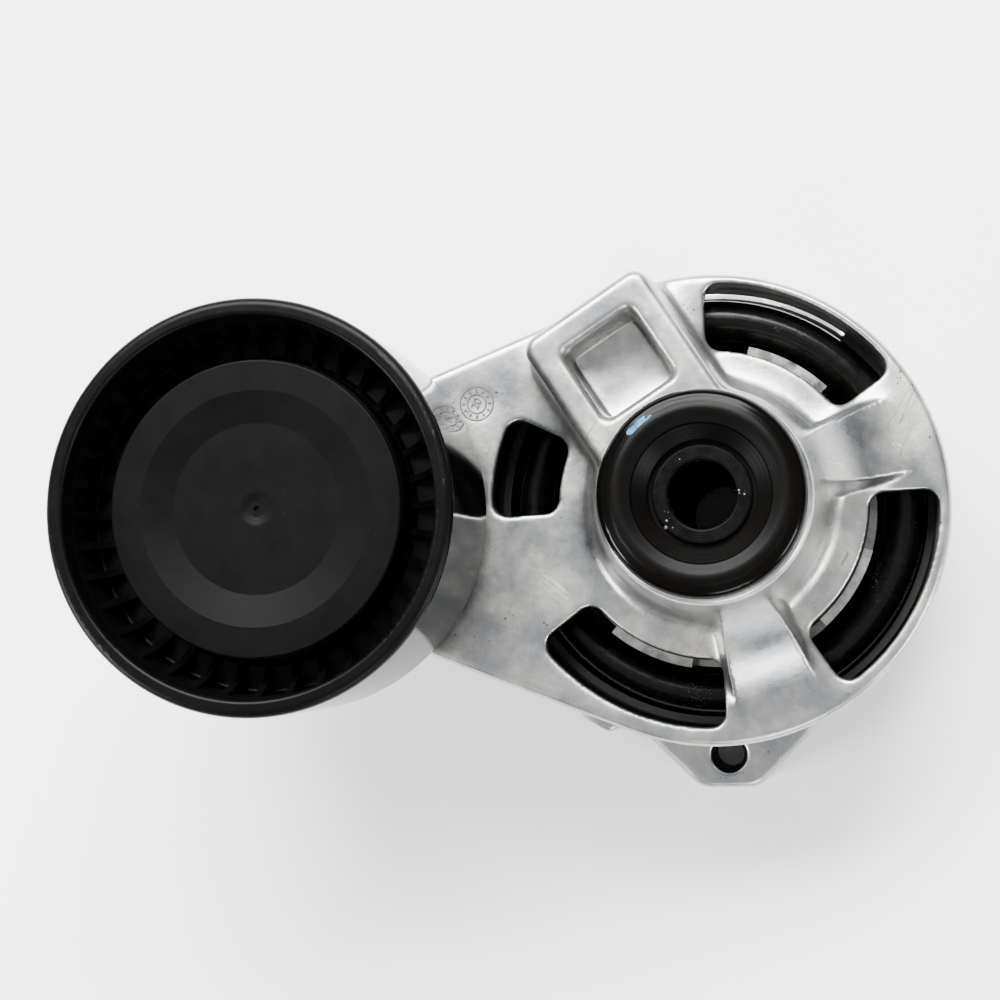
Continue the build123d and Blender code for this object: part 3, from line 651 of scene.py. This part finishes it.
def arm_freedom(places):
    """The arm's outer side is free, apart from the post in the pulley and the pivot's bore."""
    from_post = np.hypot(places[:, 0] - pulley_axis.x, places[:, 1] - pulley_axis.y)
    from_pivot = np.hypot(places[:, 0], places[:, 1])
    post_zone, bore_zone = 15 * MM, 13 * MM
    outside = places[:, 2] > plate_bottom + 2 * MM
    return (outside & (from_post > post_zone) & (from_pivot > bore_zone)).astype(float)


soft_arm = rebuilt("tension_arm", "cast_arm", casting_cell, casting_rounds)
filled(soft_arm, "tension_arm", arm_freedom, times=90)
dressed(soft_arm, "tension_arm", "arm", cast_metal)

# %% Soften the base
def base_freedom(places):
    """The base's outer side is free, apart from the hole in its ear."""
    hole_low, hole_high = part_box("ear_sleeve")
    hole_x = (hole_low.x + hole_high.x) / 2
    hole_y = (hole_low.y + hole_high.y) / 2
    from_hole = np.hypot(places[:, 0] - hole_x, places[:, 1] - hole_y)
    from_pivot = np.hypot(places[:, 0], places[:, 1])
    cup_side, hole_zone = cover_radius - 3 * MM, 5 * MM
    return ((from_pivot > cup_side) & (from_hole > hole_zone)).astype(float)


soft_base = rebuilt("base_housing", "cast_base", casting_cell, casting_rounds)
filled(soft_base, "base_housing", base_freedom, times=40)
dressed(soft_base, "base_housing", "base", base_metal)

# %% [markdown]
# ## The spring
# The coil's lower end sits in the base and its upper end is pushed by the arm, so the coil
# winds up as the arm swings. A copy of the coil takes the spring's paint, its place is baked
# into its mesh, and the imported coil is hidden.

# %% Copy the spring
winding_spring = shown("winding_spring", nodes["torsion_spring"].data.copy())
winding_spring.data.materials.clear()
winding_spring.data.materials.append(spring_black)
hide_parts("torsion_spring")
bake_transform(winding_spring)

# %% [markdown]
# ## The date dial
# Die makers set a small round insert in the die, which leaves a dial on each casting: two thin
# raised rings with short bars between them and two figures in the middle. It is modelled,
# because its raised edges catch the light.

# %% Finish: the dial's lines, in a dark grey
dial_metal = finish_of(
    "dial_lines", (0.02, 0.02, 0.02), (0.08, 0.08, 0.08), (0.4, 0.55), metallic=0.3, scale=900.0)[0]
print("finish", dial_metal.name)

# %% Build the date dial
def flat_piece(name, outlines, height, low_z):
    """Raises closed outlines, given in metres, into one thin mesh piece."""
    vertices, faces = [], []
    for outline in outlines:
        start, number = len(vertices), len(outline)
        vertices += [(x, y, low_z) for x, y in outline]
        vertices += [(x, y, low_z + height) for x, y in outline]
        faces.append([start + number + index for index in range(number)])
        faces.append([start + index for index in reversed(range(number))])
        for index in range(number):
            after = (index + 1) % number
            faces.append([
                start + index, start + after, start + number + after, start + number + index])
    mesh = bpy.data.meshes.new(name)
    mesh.from_pydata(vertices, [], faces)
    return shown(name, mesh)


def arc_strip(centre, inner, outer, start, end, steps):
    """The outline of a piece of a ring."""
    angles = [start + (end - start) * index / steps for index in range(steps + 1)]
    outside = [(centre[0] + outer * cos(a), centre[1] + outer * sin(a)) for a in angles]
    inside = [(centre[0] + inner * cos(a), centre[1] + inner * sin(a)) for a in reversed(angles)]
    return outside + inside


dial_centre = (-39.0 * MM, 18.4 * MM)
outer_ring, inner_ring = (2.72, 2.95), (1.50, 1.70)   # each from one radius to the other, in mm
bar_start, bar_end = 1.95 * MM, 2.5 * MM
bar_half_angle = 0.07
dial_height, dial_root = 0.34 * MM, 0.30 * MM   # in all, and the part that is in the metal
outlines = []
for inner, outer in (outer_ring, inner_ring):
    for quarter in range(4):
        outlines.append(arc_strip(
            dial_centre, inner * MM, outer * MM, quarter * pi / 2, (quarter + 1) * pi / 2, 14))
for bar in range(12):
    angle = bar * pi / 6
    outlines.append(arc_strip(
        dial_centre, bar_start, bar_end, angle - bar_half_angle, angle + bar_half_angle, 3))
dial = flat_piece("date_dial", outlines, dial_height, plate_top - dial_root)
dial.data.materials.append(dial_metal)
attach(dial, "arm")
print("dial pieces", len(outlines))

# %% Build the figures in the middle of the dial
lettering = bpy.data.curves.new("dial_figures", "FONT")
lettering.body = "20"
lettering.align_x, lettering.align_y = "CENTER", "CENTER"
lettering.size = 1.9 * MM
lettering.extrude = 0.05 * MM
source = shown("dial_figures", lettering)
turn = Matrix.Rotation(radians(65), 4, "Z")
place = Matrix.Translation((*dial_centre, plate_top - 0.01 * MM))
figures_mesh = evaluated_mesh(source)
figures_mesh.transform(place @ turn)
bpy.data.objects.remove(source)
figures = shown("dial_figures", figures_mesh)
figures.data.materials.append(dial_metal)
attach(figures, "arm")
print("figure faces", len(figures_mesh.polygons))

# %% [markdown]
# ## Flash on the parting line
# Where the two halves of the die meet, a hair of metal squeezes out and leaves a thin, uneven
# ridge around the cover. It is a narrow tube along the parting line whose thickness changes as
# it goes. It sits mostly inside the cover, so that only a little of it stands out.

# %% Build the flash
def ridge(name, path, thicknesses):
    """A thin uneven tube along a path of points, each with its own thickness."""
    curve = bpy.data.curves.new(name, "CURVE")
    curve.dimensions = "3D"
    curve.bevel_depth = 1.0
    curve.bevel_resolution = 1
    spline = curve.splines.new("POLY")
    spline.points.add(len(path) - 1)
    for point, place, thickness in zip(spline.points, path, thicknesses):
        point.co = (*place, 1.0)
        point.radius = thickness
    source = shown(name, curve)
    mesh = evaluated_mesh(source)
    bpy.data.objects.remove(source)
    piece = shown(name, mesh)
    piece.data.materials.append(cast_metal)
    return piece


flash_start, burrs_end, flash_end = -148, -50, 100   # degrees about the cover's centre
flash_steps = 3                                      # points per degree
thinnest, raggedness, burr_growth = 0.07, 0.10, 0.55   # in mm
flash_path, flash_thickness = [], []
for step in range(flash_start * flash_steps, flash_end * flash_steps):
    angle = radians(step / flash_steps)
    ragged = abs(noise.noise(Vector((cos(angle), sin(angle), 0)) * 34))
    burr = 0.0
    if step < burrs_end * flash_steps:
        burr = max(0.0, noise.noise(Vector((cos(angle), sin(angle), 2)) * 60) - 0.25)
    thickness = (thinnest + raggedness * ragged + burr_growth * burr) * MM
    flash_thickness.append(thickness)
    reach = cover_radius - thickness - 0.02 * MM + 0.5 * burr * MM
    flash_path.append((
        cover_centre.x + reach * cos(angle), cover_centre.y + reach * sin(angle), parting_height))
flash = ridge("parting_flash", flash_path, flash_thickness)
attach(flash, "arm")
print("flash points", len(flash_path))

# %% [markdown]
# ## A dab of blue paint
# Someone at the end of the line marked the disc with a touch of blue, to show that it had been
# checked. It is a thin, lumpy patch on the rim of the disc. Its edge is uneven, because paint
# from a felt tip spreads.

# %% Build the paint dab
blue_paint = finish_of(
    "blue_marker_paint", (0.004, 0.05, 0.10), (0.03, 0.24, 0.36), (0.3, 0.5),
    scale=900.0, contrast=3.0, bump=0.3)[0]
dab_angle = radians(129)
dab_radius = disc_radius - 2.3 * MM
dab_centre = (dab_radius * cos(dab_angle), dab_radius * sin(dab_angle))
dab_points = 24
dab_size, unevenness = 0.75, 0.5     # in mm
dab_length, dab_width = 2.6, 1.2     # times its size
dab_outline = []
for step in range(dab_points):
    angle = step * 2 * pi / dab_points
    lumps = noise.noise(Vector((cos(angle), sin(angle), 0.3)) * 2.1)
    reach = (dab_size + unevenness * lumps) * MM
    along = dab_length * reach * cos(angle)
    across = dab_width * reach * sin(angle)
    dab_outline.append((
        dab_centre[0] - along * sin(dab_angle) + across * cos(dab_angle),
        dab_centre[1] + along * cos(dab_angle) + across * sin(dab_angle)))
dab_height, dab_drop = 0.12 * MM, 0.32 * MM     # the second is from the disc's highest point
dab = flat_piece("paint_dab", [dab_outline], dab_height, disc_high.z - dab_drop)
dab.data.materials.append(blue_paint)
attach(dab, "base")
print("dab points", len(dab_outline))

# %% [markdown]
# ## Floor, light and camera
# The part lies on a white table. A wide sheet of near-white stands for the table. Large soft
# lights stand around it, and the room grows darker from the ceiling down to the walls. Metal
# shows its shape by what it mirrors, so its flat faces look bright and its slopes look darker.

# %% Floor
floor_mesh = bpy.data.meshes.new("table")
half_side = 40.0     # of the sheet, in metres
floor_gap = 0.0002   # keeps the part's underside off the sheet
corners = [(x * half_side, y * half_side, 0) for x, y in ((-1, -1), (1, -1), (1, 1), (-1, 1))]
floor_mesh.from_pydata(corners, [], [(0, 1, 2, 3)])
table = shown("table", floor_mesh)
table.location.z = cad_box[0][2] - floor_gap
table_white = finish_of(
    "table_white", (0.83, 0.83, 0.835), (0.88, 0.88, 0.885), (0.5, 0.6), scale=12.0, bump=0.02)[0]
table.data.materials.append(table_white)
print("table at", table.location.z)

# %% Lights
def soft_light(name, place, aim, size, power):
    light = bpy.data.lights.new(name, "AREA")
    light.shape = "RECTANGLE"
    light.size, light.size_y = size
    light.energy = power
    lamp = shown(name, light)
    lamp.location = place
    lamp.rotation_euler = (Vector(aim) - Vector(place)).to_track_quat("-Z", "Y").to_euler()


middle = (0, 0, 0.03)
soft_light("back_window", (-0.12, 0.62, 0.72), middle, (0.9, 0.45), 60.0)
soft_light("left_window", (-0.80, -0.35, 0.45), middle, (0.30, 0.20), 14.0)
soft_light("right_window", (0.80, -0.45, 0.42), middle, (0.30, 0.20), 9.0)
soft_light("near_window", (0.20, -0.85, 0.50), middle, (0.35, 0.20), 6.0)
world = bpy.data.worlds.new("pale_room")
world.use_nodes = True
room = world.node_tree
background = room.nodes["Background"]
looking = room.nodes.new("ShaderNodeTexCoord")
split = room.nodes.new("ShaderNodeSeparateXYZ")
room.links.new(looking.outputs["Generated"], split.inputs[0])
tones = room.nodes.new("ShaderNodeValToRGB")
ramp = tones.color_ramp
ramp.elements[0].position, ramp.elements[0].color = 0.02, (0.62, 0.62, 0.62, 1)
ramp.elements[1].position, ramp.elements[1].color = 0.90, (1.0, 1.0, 1.0, 1)
wall = ramp.elements.new(0.16)
wall.color = (0.07, 0.07, 0.07, 1)
room.links.new(split.outputs["Z"], tones.inputs["Fac"])
room.links.new(tones.outputs["Color"], background.inputs["Color"])
background.inputs["Strength"].default_value = 1.0
bpy.context.scene.world = world
print("lights ready")

# %% Camera
lens = bpy.data.cameras.new("camera")
lens.lens = 71.83
lens.sensor_width = 36.0
lens.clip_start = 0.01
camera = shown("camera", lens)
right = Vector((0.98556, -0.02632, -0.16727)).normalized()
forward = Vector((-0.16514, 0.06891, -0.98386)).normalized()
up = right.cross(forward).normalized()
turn = Matrix((right, up, -forward)).transposed().to_4x4()
camera.matrix_world = Matrix.Translation(Vector((0.01999, -0.02117, 0.3682))) @ turn
bpy.context.scene.camera = camera
print("camera looks along", forward.to_tuple(3))

# %% [markdown]
# ## Finishing
# The scene is brought up to date. The pieces that were added must not make the tensioner
# larger than its imported model.

# %% Bring the scene up to date and finish
bpy.context.view_layer.update()
